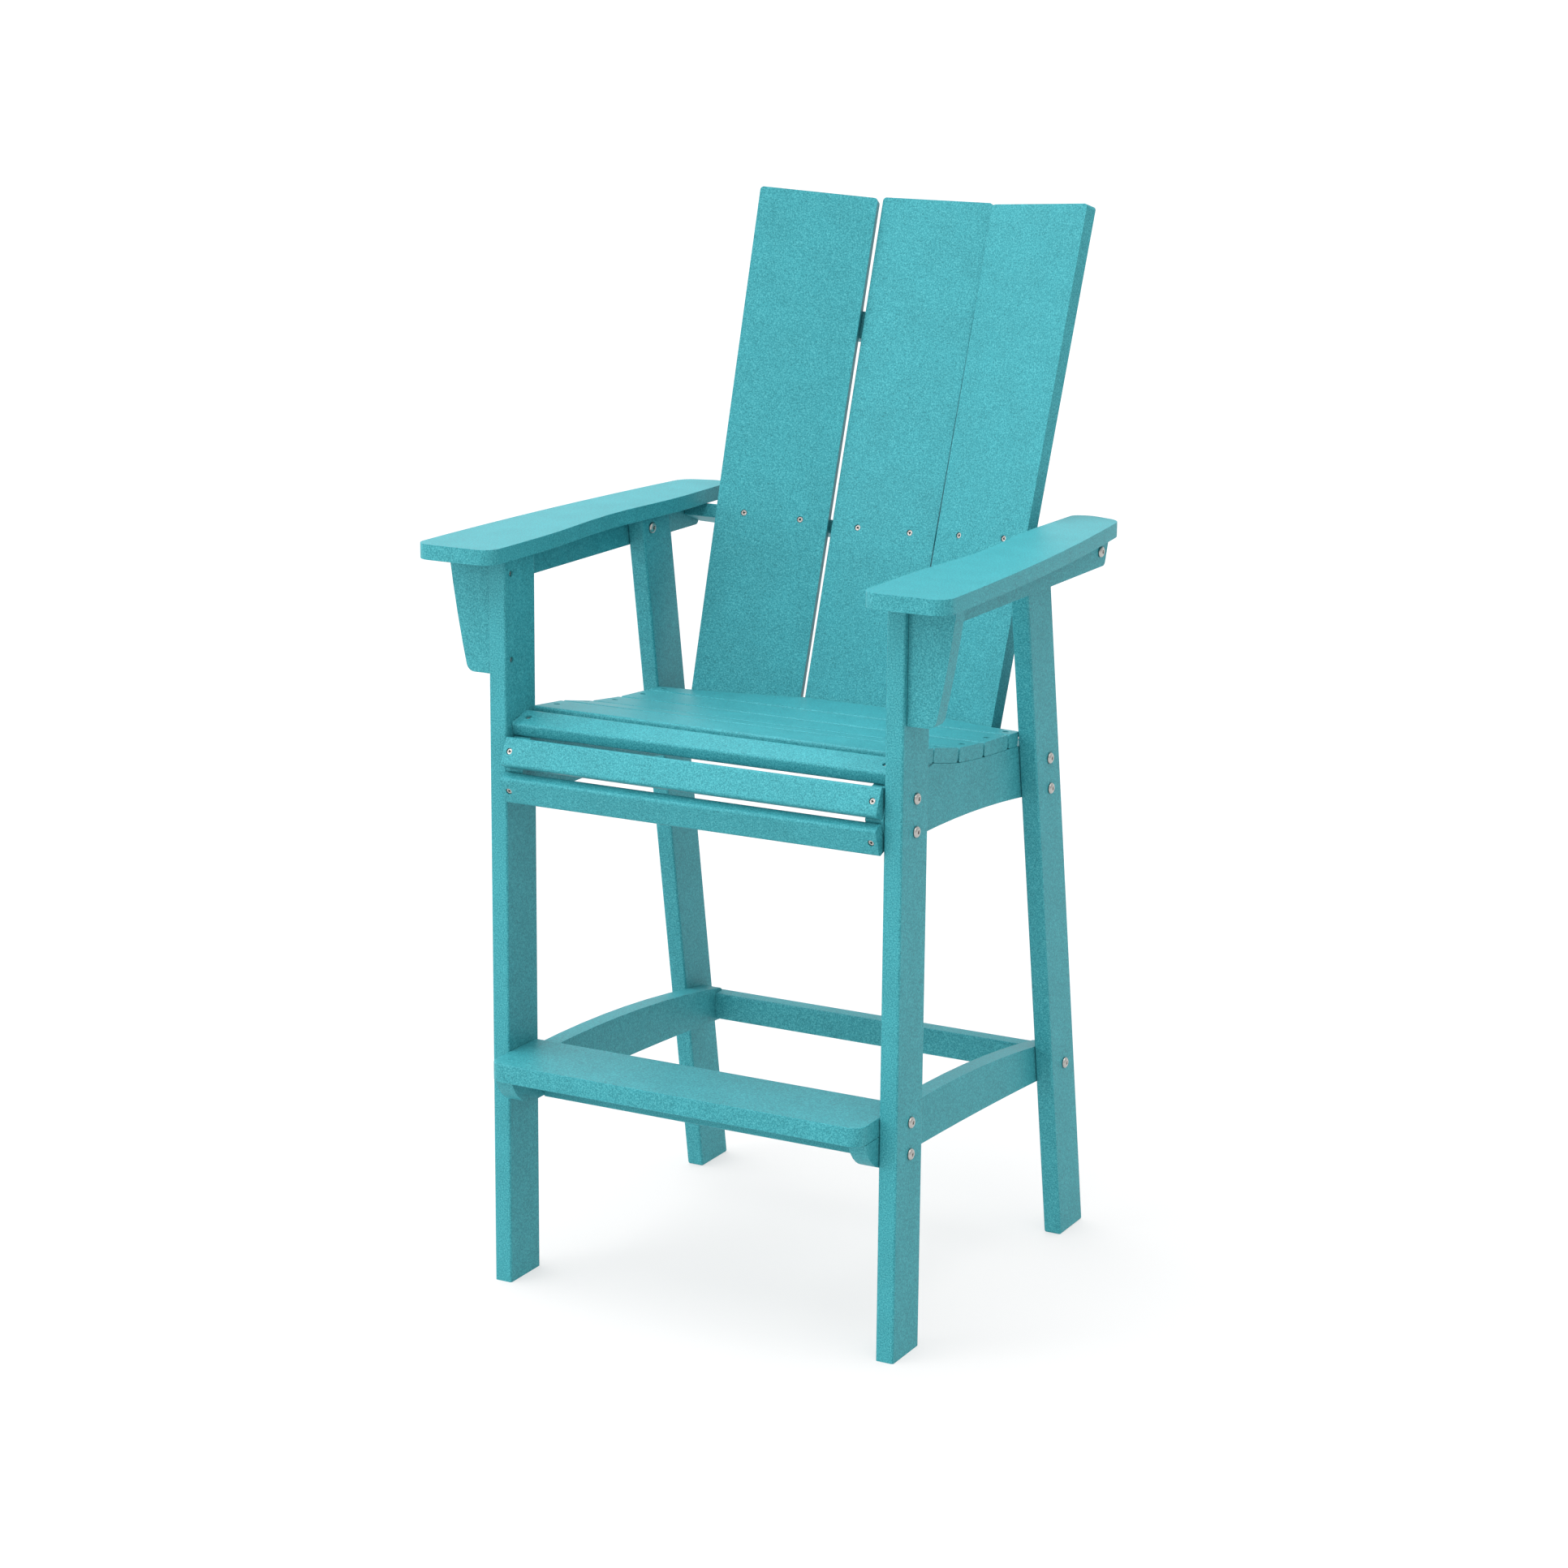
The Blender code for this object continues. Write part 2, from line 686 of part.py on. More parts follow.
def braces():
    foot = arm_brace_foot()
    half_length = OUTER_RAIL_INNER - GAP
    front = brace_front(foot, foot + SLAT, half_length, ARM_BRACE_END_FRONT)
    made = [brace("arm_level_brace", foot, SLAT, front, ARM_BRACE_DEPTH, ARM_BRACE_END_DEPTH)]
    foot, top = UPPER_BRACE_FOOT, UPPER_BRACE_FOOT + HALF_WIDTH
    front = brace_front(foot, top, UPPER_BRACE_HALF)
    made.append(
        brace("upper_brace", foot, HALF_WIDTH, front, UPPER_BRACE_DEPTH, UPPER_BRACE_END_DEPTH)
    )
    foot, top = LOWER_BRACE_FOOT, LOWER_BRACE_FOOT + BOARD
    front = brace_front(foot, top, CROSS_HALF)
    made.append(
        brace("lower_brace", foot, BOARD, front, LOWER_BRACE_DEPTH, LOWER_BRACE_END_DEPTH)
    )
    return made


# Footrest


def footrest_board():
    shape = outline(
        [
            (-SEAT_HALF, FOOTREST_FRONT_Y, FOOTREST_CORNER),
            (SEAT_HALF, FOOTREST_FRONT_Y, FOOTREST_CORNER),
            (SEAT_HALF, FOOTREST_REAR_Y, 0),
            (-SEAT_HALF, FOOTREST_REAR_Y, 0),
        ]
    )
    return sawn_board("footrest_board", shape, BOARD, from_above(FOOTREST_UNDER + BOARD / 2))


def footrest_support():
    height = FOOTREST_UNDER - GAP - STRIP_FOOT
    middle = (0, FOOTREST_REAR_Y - SLAT / 2, STRIP_FOOT + height / 2)
    size = (2 * CROSS_HALF, SLAT, height)
    return plank("footrest_support", size, Matrix.Translation(middle))


def stretcher_top(y):
    run = y - STRETCHER_TOP_Y
    return STRETCHER_TOP - STRETCHER_TOP_RADIUS + math.sqrt(STRETCHER_TOP_RADIUS**2 - run**2)


def side_stretcher(side, word):
    seat = FOOTREST_UNDER - GAP
    notch = FOOTREST_REAR_Y + GAP
    centre_z = STRETCHER_BOTTOM + STRETCHER_FRONT_RADIUS
    front_turn = math.acos((centre_z - seat) / STRETCHER_FRONT_RADIUS)
    shape = []
    for step in range(LONG_ARC_STEPS + 1):
        turn = front_turn * (1 - step / LONG_ARC_STEPS)
        y = STRETCHER_FRONT_Y - STRETCHER_FRONT_RADIUS * math.sin(turn)
        shape.append((y, centre_z - STRETCHER_FRONT_RADIUS * math.cos(turn), 0))
    bottom_start = (STRETCHER_FLAT_END_Y, STRETCHER_BOTTOM)
    bottom_end = (STRETCHER_REAR_Y, STRETCHER_REAR_BOTTOM)
    shape += bowed(bottom_start, bottom_end, -STRETCHER_SAG)
    shape.append((STRETCHER_REAR_Y, stretcher_top(STRETCHER_REAR_Y), STRETCHER_CORNER))
    for step in range(1, LONG_ARC_STEPS + 1):
        y = STRETCHER_REAR_Y + (notch - STRETCHER_REAR_Y) * step / LONG_ARC_STEPS
        shape.append((y, stretcher_top(y), 0))
    shape.append((notch, seat, 0))
    place = from_side(side * (RAIL_INNER + BOARD / 2))
    return sawn_board(f"side_stretcher_{word}", outline(shape), BOARD, place)


def rear_stretcher():
    middle = (0, STRETCHER_REAR_Y - BOARD / 2, REAR_STRETCHER_FOOT + HALF_WIDTH / 2)
    size = (2 * CROSS_HALF, BOARD, HALF_WIDTH)
    return plank("rear_stretcher", size, Matrix.Translation(middle))


# Fasteners


def turned(name, profile):
    """A turned body from a profile of (radius, height), listed from the top down."""
    mesh = bpy.data.meshes.new(name)
    line = bmesh.new()
    verts = [line.verts.new((radius, 0, height)) for radius, height in profile]
    for first, second in zip(verts, verts[1:]):
        line.edges.new((first, second))
    line.to_mesh(mesh)
    line.free()
    obj = bpy.data.objects.new(name, mesh)
    bpy.context.scene.collection.objects.link(obj)
    screw = obj.modifiers.new("turning", "SCREW")
    screw.steps = ROUND_STEPS
    screw.render_steps = ROUND_STEPS
    screw.use_merge_vertices = True
    screw.merge_threshold = 1e-5
    return obj


def rod(name, radius, top, bottom, sides):
    """A cutter along Z from top to bottom."""
    bpy.ops.mesh.primitive_cylinder_add(vertices=sides, radius=radius, depth=top - bottom)
    obj = bpy.context.object
    obj.data.transform(Matrix.Translation((0, 0, (top + bottom) / 2)))
    return cutter(obj, name)


def bolt_mesh(length):
    """A button-head bolt along -Z, with the underside of its head at the origin."""
    rim = BOLT_HEAD_RADIUS
    tall = BOLT_HEAD_HEIGHT
    body = turned(
        "bolt_body",
        [
            (0, tall),
            *[(out * rim, up * tall) for out, up in BOLT_CROWN],
            (rim, 0),
            (BOLT_RADIUS, 0),
            (BOLT_RADIUS, -length),
            (0, -length),
        ],
    )
    socket = rod("bolt_socket", BOLT_SOCKET, 2 * tall, tall - BOLT_SOCKET_DEPTH, 6)
    cut(body, socket)
    mesh = evaluated_mesh(body)
    remove(body)
    remove(socket)
    mesh.shade_smooth()
    mesh.set_sharp_from_angle(angle=SHARP_ANGLE)
    return mesh


def screw_mesh(length):
    """A flat-head screw along -Z, with the top of its head at the origin."""
    body = turned(
        "screw_body",
        [
            (0, -SCREW_RECESS_DEPTH),
            (SCREW_RECESS, 0),
            (SCREW_HEAD_RADIUS, 0),
            (SCREW_RADIUS, -SCREW_HEAD_HEIGHT),
            (SCREW_RADIUS, -length),
            (0, -length - 2 * SCREW_RADIUS),
        ],
    )
    mesh = evaluated_mesh(body)
    remove(body)
    mesh.shade_smooth()
    mesh.set_sharp_from_angle(angle=SHARP_ANGLE)
    return mesh


def across(side, x, y, z, outward=True):
    """A frame for a bolt across the chair: its head is at x and its Z points out of it."""
    turn = math.pi / 2 if outward else -math.pi / 2
    return Matrix.Translation((side * x, y, z)) @ Matrix.Rotation(side * turn, 4, "Y")


def bolt(name, place, length, targets):
    obj = bpy.data.objects.new(name, bolt_mesh(length))
    obj.matrix_world = place @ Matrix.Translation((0, 0, GAP))
    finish(obj, name, make_material(name + "_steel", STEEL, 0.3, 1.0))
    radius = BOLT_RADIUS + HOLE_CLEARANCE
    hole = rod(name + "_hole", radius, 2 * BOLT_HEAD_HEIGHT, -length - GAP, HOLE_STEPS)
    hole.matrix_world = place
    for target in targets:
        cut(target, hole)
    return obj


def screw(name, place, length, targets):
    """A screw whose head is sunk into the first target's face, at the origin of its place."""
    obj = bpy.data.objects.new(name, screw_mesh(length))
    obj.matrix_world = place @ Matrix.Translation((0, 0, -SCREW_SINK))
    finish(obj, name, make_material(name + "_steel", STEEL, 0.3, 1.0))
    end = -length - 2 * SCREW_RADIUS - SCREW_SINK - GAP
    hole_radius = SCREW_RADIUS + HOLE_CLEARANCE
    hole = rod(name + "_hole", hole_radius, SCREW_MOUTH_RISE, end, HOLE_STEPS)
    mouth_radius = SCREW_HEAD_RADIUS + HOLE_CLEARANCE
    mouth_end = -SCREW_SINK - SCREW_HEAD_HEIGHT - HOLE_CLEARANCE
    mouth = rod(name + "_mouth", mouth_radius, SCREW_MOUTH_RISE, mouth_end, HOLE_STEPS)
    hole.matrix_world = place
    mouth.matrix_world = place
    for target in targets:
        cut(target, hole)
    cut(targets[0], mouth)
    return obj


def side_bolts(side, word, parts):
    """The nine bolts of one side, each with its head's face, its place and what it goes through."""

    def part(name):
        return parts[f"{name}_{word}"]

    front_leg_part, rear_leg_part = part("front_leg"), part("rear_leg")
    seat_rail_part, stretcher = part("seat_rail"), part("side_stretcher")
    arm_rail_part = part("arm_rail")
    one_board = BOARD + GAP
    two_boards = 2 * one_board
    middle = FULL_WIDTH / 2 + LEG_BOLT_SETBACK
    footrest_z = FOOTREST_UNDER + BOARD / 2
    stretcher_z = STRETCHER_BOTTOM + STRETCHER_BOLT_RISE
    rear_end = STRETCHER_REAR_Y - STRETCHER_BOLT_INSET
    brace_end = arm_brace_end()
    lower_brace_up = LOWER_BRACE_FOOT + BOARD / 2 - LOWER_BRACE_BOLT_DROP
    lower_end = back_frame() @ Vector((0, LOWER_BRACE_BOLT_DEPTH, lower_brace_up))
    leg_top_z = UNDER_ARM - ARM_LEG_BOLT_DROP
    leg_top_y = rear_leg_y(leg_top_z) + ARM_LEG_BOLT_DEPTH
    rows = [
        ("seat_front_upper", LEG_OUTER, middle, SEAT_BOLT_Z + SEAT_BOLT_SPACING,
         one_board + BOLT_BITE, [front_leg_part, seat_rail_part]),
        ("seat_front_lower", LEG_OUTER, middle, SEAT_BOLT_Z, one_board + BOLT_BITE,
         [front_leg_part, seat_rail_part]),
        ("footrest", LEG_OUTER, middle, footrest_z, one_board + BOLT_END_BITE,
         [front_leg_part, parts["footrest_board"]]),
        ("stretcher_front", LEG_OUTER, middle, stretcher_z, one_board + BOLT_BITE,
         [front_leg_part, stretcher]),
        ("seat_rear_upper", LEG_OUTER, lower_end.y, lower_end.z, two_boards + BOLT_END_BITE,
         [rear_leg_part, seat_rail_part, parts["lower_brace"]]),
        ("seat_rear_lower", LEG_OUTER, lower_end.y + REAR_SEAT_BOLT_STEP,
         lower_end.z - SEAT_BOLT_SPACING, one_board + BOLT_BITE, [rear_leg_part, seat_rail_part]),
        ("stretcher_rear", LEG_OUTER, rear_end, REAR_STRETCHER_FOOT + REAR_STRETCHER_BOLT_RISE,
         two_boards + BOLT_END_BITE, [rear_leg_part, stretcher, parts["rear_stretcher"]]),
        ("arm_rear", OUTER_RAIL_OUTER, brace_end.y, brace_end.z, one_board + BOLT_END_BITE,
         [arm_rail_part, parts["arm_level_brace"]]),
    ]
    for name, x, y, z, length, targets in rows:
        bolt(f"bolt_{name}_{word}", across(side, x, y, z), length, targets)
    inner_face = across(side, LEG_INNER, leg_top_y, leg_top_z, outward=False)
    bolt(f"bolt_arm_leg_{word}", inner_face, one_board + BOLT_BITE, [rear_leg_part, arm_rail_part])


def back_screws(parts):
    height = arm_brace_foot() + SLAT / 2
    facing = Matrix.Rotation(math.pi / 2, 4, "X")
    rows = (
        (0, "centre", "centre_slat"),
        (1, "left", "wing_slat_left"),
        (-1, "right", "wing_slat_right"),
    )
    for side, word, slat_name in rows:
        top = CENTRE_SLAT_TOP if side == 0 else WING_TOP[2]
        for number, spread in enumerate((-BACK_SCREW_SPREAD, BACK_SCREW_SPREAD), 1):
            spot = Matrix.Translation((spread, 0, height - top))
            place = back_frame() @ slat_frame(side) @ spot @ facing
            targets = [parts[slat_name], parts["arm_level_brace"]]
            screw(f"back_screw_{word}_{number}", place, SLAT + SCREW_BITE, targets)


def apron_screws(parts):
    facing = Matrix.Rotation(math.pi / 2, 4, "X")
    rows = (("upper", UPPER_FACET_TILT, 1), ("lower", LOWER_FACET_TILT, -1))
    for level, tilt, direction in rows:
        for side, word in SIDES:
            x = side * (SEAT_HALF - APRON_SCREW_INSET)
            face = Matrix.Translation((x, -GAP - SLAT, 0))
            place = apron_spot(tilt, direction) @ face @ facing
            targets = [parts[f"{level}_apron"], parts[f"seat_rail_{word}"]]
            screw(f"apron_screw_{level}_{word}", place, SLAT + SCREW_BITE, targets)


def centre_origin(parts):
    """Moves the chair along Y, so that its box is centred on the origin."""
    bpy.context.view_layer.update()
    edges = [(part.matrix_world @ Vector(spot)).y for part in parts for spot in part.bound_box]
    ORIGIN.location.y = -(min(edges) + max(edges)) / 2
    bpy.context.view_layer.update()


def clear_scene():
    for obj in list(bpy.data.objects):
        bpy.data.objects.remove(obj, do_unlink=True)


def main():
    made = []
    for side, word in SIDES:
        made += [front_leg(side, word), rear_leg(side, word), arm(side, word)]
        made += [arm_rail(side, word), arm_bracket(side, word), seat_rail(side, word)]
        made.append(side_stretcher(side, word))
        made.append(back_slat(side, f"wing_slat_{word}"))
    made.append(back_slat(0, "centre_slat"))
    made += seat_slats()
    made += [apron("upper_apron", UPPER_FACET_TILT, 1), apron("lower_apron", LOWER_FACET_TILT, -1)]
    made += braces()
    made += [footrest_board(), footrest_support(), rear_stretcher()]
    parts = {part.name: part for part in made}
    for side, word in SIDES:
        side_bolts(side, word, parts)
    back_screws(parts)
    apron_screws(parts)
    centre_origin(made)


clear_scene()
CHAIR = new_collection("adirondack_chair")
CUTTERS = new_collection("cutters", hidden=True)
ORIGIN = bpy.data.objects.new("chair_origin", None)
CHAIR.objects.link(ORIGIN)
main()
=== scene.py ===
"""The finish of a bar-height adirondack chair in extruded plastic lumber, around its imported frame."""

import math

import bmesh
import bpy
from mathutils import Matrix, Vector


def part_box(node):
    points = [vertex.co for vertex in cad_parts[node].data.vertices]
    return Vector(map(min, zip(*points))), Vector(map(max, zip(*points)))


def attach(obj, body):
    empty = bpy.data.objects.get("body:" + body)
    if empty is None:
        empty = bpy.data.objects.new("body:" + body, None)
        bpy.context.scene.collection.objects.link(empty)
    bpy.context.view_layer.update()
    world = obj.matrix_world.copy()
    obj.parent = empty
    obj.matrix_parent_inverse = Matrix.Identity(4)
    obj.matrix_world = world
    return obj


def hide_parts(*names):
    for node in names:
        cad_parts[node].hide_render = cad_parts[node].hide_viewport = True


bl_info = {
    "name": "Adirondack bar chair",
    "version": (1, 0, 0),
    "blender": (4, 5, 0),
    "location": "View3D > Sidebar > Chair",
    "description": "Dresses the boards, bolts and screws of a plastic-lumber adirondack chair",
    "category": "Object",
}

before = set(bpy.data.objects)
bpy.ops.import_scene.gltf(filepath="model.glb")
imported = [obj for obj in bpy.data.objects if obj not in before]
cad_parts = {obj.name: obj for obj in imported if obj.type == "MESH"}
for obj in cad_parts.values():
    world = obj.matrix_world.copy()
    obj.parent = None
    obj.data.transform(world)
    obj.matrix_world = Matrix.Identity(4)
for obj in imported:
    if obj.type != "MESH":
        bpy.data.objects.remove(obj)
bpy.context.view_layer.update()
MM = 0.001
SIDES = ("left", "right")
LEG_FACE_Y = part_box("front_leg_left")[0].y

# Nearly up or down, as the height of a face's unit normal
UPRIGHT = 0.9

# Board finish
WELD = 0.01 * MM
FLAT_ANGLE = math.radians(0.2)
BOARD_SMOOTH = math.radians(36)

# Screw holes: the play round a screw, and the cutter's stretch above the face
HOLE_PLAY = 0.4 * MM
HOLE_ABOVE = 2 * MM
HOLE_TAPER = 2.6 * MM
HOLE_SIDES = 28

# Where the screws sit on their boards
REAR_SLAT_SCREW_FROM_FRONT = 20 * MM
BRACKET_SCREW_FROM_FRONT = 7 * MM
BRACKET_SCREW_FROM_END = 20 * MM

# Bolt heads, in shares of the head's height: a straight rim, then (rise, width) of each ring
BOLT_SIDES = 48
BOLT_RIM = 0.25
BOLT_CROWN = ((0.28, 0.94), (0.27, 0.86), (0.20, 0.74))
BOLT_SHANK_LENGTH = 10 * MM
BOLT_EDGE = 0.18 * MM

# Screws
SCREW_SIDES = 32
SCREW_RIM = 0.4 * MM
SCREW_CONE = 2.1 * MM
SCREW_SHANK = 6 * MM
SCREW_EDGE = 0.15 * MM
RECESS_DEPTH = 3.2 * MM
RECESS_WIDTH = 1.5 * MM
RECESS_SPAN = 0.66
RECESS_FLOOR = (0.55, 0.6, 1)

# Steel edges that are eased, and the angle under which steel is shaded smooth
EDGE_ANGLE = math.radians(40)
STEEL_SMOOTH = math.radians(35)

# No two screws stop at the same turn.
SCREW_TURN = math.radians(37)
SLAT_SCREW_TURN = math.radians(53)

# Studio
FLOOR_WIDTH = 160
FLOOR_GLOW = 0.60
ROOM_LIGHT_AT_RIGHT = 1.5
ROOM_LIGHT_AT_LEFT = 0.7
LIGHT_AIM = (0, 0, 0.8)
FRONT_LIGHT_PLACE = (-2.6, -3.2, 1.8)
FRONT_LIGHT_SIZE = 1.8
FRONT_LIGHT_WATTS = 27
TOP_LIGHT_FROM = (-0.15, -0.22, 1.0)
TOP_LIGHT_STRENGTH = 2.45
TOP_LIGHT_SPREAD = math.radians(75)
SENSOR_WIDTH = 36

BOARDS = {
    "legs": ["front_leg_left", "front_leg_right", "rear_leg_left", "rear_leg_right"],
    "arms": [f"{piece}_{side}" for piece in ("arm", "arm_rail", "arm_bracket") for side in SIDES],
    "seat": ["seat_rail_left", "seat_rail_right", "upper_apron", "lower_apron"],
    "back": [
        "centre_slat",
        "wing_slat_left",
        "wing_slat_right",
        "upper_brace",
        "arm_level_brace",
        "lower_brace",
    ],
    "footrest": [
        "footrest_board",
        "footrest_support",
        "side_stretcher_left",
        "side_stretcher_right",
        "rear_stretcher",
    ],
}
SEAT_SLATS = ["seat_nose_slat", *(f"seat_slat_{number}" for number in range(1, 5)), "seat_rear_slat"]


def linear(hex_colour):
    """An sRGB hex colour as linear red, green and blue."""
    channels = [int(hex_colour[i : i + 2], 16) / 255 for i in (1, 3, 5)]
    return [c / 12.92 if c <= 0.04045 else ((c + 0.055) / 1.055) ** 2.4 for c in channels]


def colour_property(name, description, hex_colour):
    return bpy.props.FloatVectorProperty(
        name=name, description=description, default=linear(hex_colour), subtype="COLOR", min=0, max=1
    )


def length_property(name, description, millimetres):
    return bpy.props.FloatProperty(
        name=name, description=description, default=millimetres * MM, min=0, unit="LENGTH", precision=4
    )


def angle_property(name, description, degrees):
    return bpy.props.FloatProperty(
        name=name, description=description, default=math.radians(degrees), subtype="ANGLE"
    )


class ChairLumberSettings(bpy.types.PropertyGroup):
    """The plastic lumber of the boards."""

    colour: colour_property("Lumber", "Colour of the lumber, all the way through", "#37929B")
    fleck: colour_property("Light flecks", "Colour of the lighter flecks in the skin", "#54ABB3")
    shade: colour_property("Dark flecks", "Colour of the darker flecks in the skin", "#28767F")
    fleck_size: length_property("Fleck size", "Size of the flecks and of the sandy skin", 1.8)
    relief: length_property("Skin relief", "Height of the sandy skin", 0.10)


class ChairFastenerSettings(bpy.types.PropertyGroup):
    """The stainless bolts and screws."""

    steel: colour_property("Steel", "Colour of the bolt and screw heads", "#B4B2AE")
    bolt_head: length_property("Bolt head", "Diameter of a button head", 15)
    bolt_height: length_property("Bolt head height", "Height of a button head", 4)
    bolt_socket: length_property("Socket", "Width of the hex socket across its corners", 5.6)
    socket_depth: length_property("Socket depth", "Depth of the hex socket", 7)
    bolt_shank: length_property("Bolt shank", "Diameter of a bolt's shank", 6.4)
    screw_head: length_property("Screw head", "Diameter of a flat screw head", 8)
    screw_shank: length_property("Screw shank", "Diameter of a screw's shank", 4.2)
    screw_length: length_property("Screw length", "Length of a screw, with its head", 37)
    screw_sink: length_property("Screw sink", "Depth of a seat or bracket screw below the face", 2.6)
    seat_inset: length_property("Seat screw inset", "From a seat slat's end to its screw", 13.7)


class ChairStudioSettings(bpy.types.PropertyGroup):
    """The camera and the floor colour."""

    camera_x: length_property("Camera right", "Camera's distance to the right of the chair", 2202.4)
    camera_y: length_property("Camera front", "Camera's distance in front of the front legs", 3904.03)
    camera_z: length_property("Camera height", "Camera's height above the floor", 1831.84)
    turn: angle_property("Turn", "Camera's angle round the chair", 27.926)
    dip: angle_property("Dip", "Camera's angle below level", 13.947)
    roll: angle_property("Roll", "Camera's lean to one side", 0.516)
    lens: bpy.props.FloatProperty(
        name="Lens", description="Focal length on a 36 mm sensor", default=84.716, subtype="DISTANCE_CAMERA"
    )
    floor: colour_property("Floor", "Colour of the studio floor", "#8F8F8F")


# Selecting and shaping


def select_only(obj):
    bpy.ops.object.select_all(action="DESELECT")
    obj.select_set(True)
    bpy.context.view_layer.objects.active = obj


def select_faces(obj, chosen):
    """Opens edit mode with only the faces for which chosen(face) is true selected."""
    select_only(obj)
    bpy.ops.object.mode_set(mode="EDIT")
    bpy.ops.mesh.select_mode(type="FACE")
    bpy.ops.mesh.select_all(action="DESELECT")
    shape = bmesh.from_edit_mesh(obj.data)
    for face in shape.faces:
        face.select_set(chosen(face))
    bmesh.update_edit_mesh(obj.data)


def close_edit():
    bpy.ops.object.mode_set(mode="OBJECT")


def draw_down(length, narrow=1):
    """Extrudes the selected face straight down, and scales its far end."""
    bpy.ops.mesh.extrude_region_move(TRANSFORM_OT_translate={"value": (0, 0, -length)})
    if narrow != 1:
        bpy.ops.transform.resize(value=(narrow, narrow, 1))


def ease_edges(obj, width):
    """Rounds the sharp edges of a steel piece."""
    bevel = obj.modifiers.new("edges", "BEVEL")
    bevel.width = width
    bevel.segments = 2
    bevel.limit_method = "ANGLE"
    bevel.angle_limit = EDGE_ANGLE
    apply_modifiers(obj)


def apply_modifiers(obj):
    select_only(obj)
    for modifier in list(obj.modifiers):
        bpy.ops.object.modifier_apply(modifier=modifier.name)


def cut(obj, tool):
    """Cuts a tool's shape out of an object and removes the tool."""
    boolean = obj.modifiers.new("cut", "BOOLEAN")
    boolean.operation = "DIFFERENCE"
    boolean.solver = "EXACT"
    boolean.object = tool
    apply_modifiers(obj)
    bpy.data.objects.remove(tool, do_unlink=True)


def placed_copy(pattern, name, place):
    """A copy of a pattern with its own mesh, placed in its mesh."""
    copy = bpy.data.objects.new(name, pattern.data.copy())
    copy.data.name = name
    copy.data.transform(place)
    bpy.context.scene.collection.objects.link(copy)
    return copy


def hand_over(obj, material, replaced=()):
    """Gives a finished piece its material and its place on the chair."""
    obj.data.materials.clear()
    obj.data.materials.append(material)
    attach(obj, "root")
    if replaced:
        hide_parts(*replaced)


# Materials


def add_node(owner, kind, links=None, **settings):
    """Adds a node to a material or a world. links maps an input to an output socket or to a value."""
    node = owner.node_tree.nodes.new(kind)
    for name, value in settings.items():
        setattr(node, name, value)
    for name, value in (links or {}).items():
        if isinstance(value, bpy.types.NodeSocket):
            owner.node_tree.links.new(value, node.inputs[name])
        else:
            node.inputs[name].default_value = value
    return node


def new_material(name):
    material = bpy.data.materials.new(name)
    material.use_nodes = True
    return material, material.node_tree.nodes["Principled BSDF"]


def link(material, output, shader, name):
    material.node_tree.links.new(output, shader.inputs[name])


def poly_lumber():
    """Extruded high-density polyethylene lumber, pigmented right through, with a brushed sandy skin.

    The skin scatters light, so faces look matt with a soft sheen, and fine flecks show at an arm's
    length. Real flecks are about 0.5 mm; they are drawn coarser, so that they show at chair distance.
    """
    lumber = bpy.context.scene.chair_lumber
    material, shader = new_material("extruded_hdpe_lumber")
    place = add_node(material, "ShaderNodeTexCoord").outputs["Object"]
    flecks = add_node(
        material, "ShaderNodeTexNoise",
        {"Vector": place, "Scale": 1 / lumber.fleck_size, "Detail": 2.0, "Roughness": 0.6},
    )
    # Melt swirls, a few centimetres long, shift the tone slightly along a board.
    swirls = add_node(
        material, "ShaderNodeTexNoise",
        {"Vector": place, "Scale": 1 / (45 * MM), "Detail": 3.0, "Roughness": 0.5},
    )
    fleck_tone = add_node(material, "ShaderNodeValToRGB", {"Fac": flecks.outputs["Fac"]})
    ramp = fleck_tone.color_ramp
    ramp.elements[0].position = 0.30
    ramp.elements[0].color = (*lumber.shade, 1)
    ramp.elements[1].position = 0.72
    ramp.elements[1].color = (*lumber.fleck, 1)
    middle = ramp.elements.new(0.5)
    middle.color = (*lumber.colour, 1)
    swirl_tone = add_node(
        material, "ShaderNodeMapRange",
        {"Value": swirls.outputs["Fac"], "From Min": 0.3, "From Max": 0.7, "To Min": 0.95, "To Max": 1.04},
    )
    toned = add_node(
        material, "ShaderNodeHueSaturation",
        {"Color": fleck_tone.outputs["Color"], "Value": swirl_tone.outputs["Result"]},
    )
    link(material, toned.outputs["Color"], shader, "Base Color")
    gloss = add_node(
        material, "ShaderNodeMapRange",
        {"Value": flecks.outputs["Fac"], "From Min": 0.3, "From Max": 0.7, "To Min": 0.42, "To Max": 0.60},
    )
    link(material, gloss.outputs["Result"], shader, "Roughness")
    skin = add_node(
        material, "ShaderNodeBump",
        {"Height": flecks.outputs["Fac"], "Strength": 0.55, "Distance": lumber.relief},
    )
    link(material, skin.outputs["Normal"], shader, "Normal")
    shader.inputs["IOR"].default_value = 1.5
    shader.inputs["Specular IOR Level"].default_value = 0.2
    return material


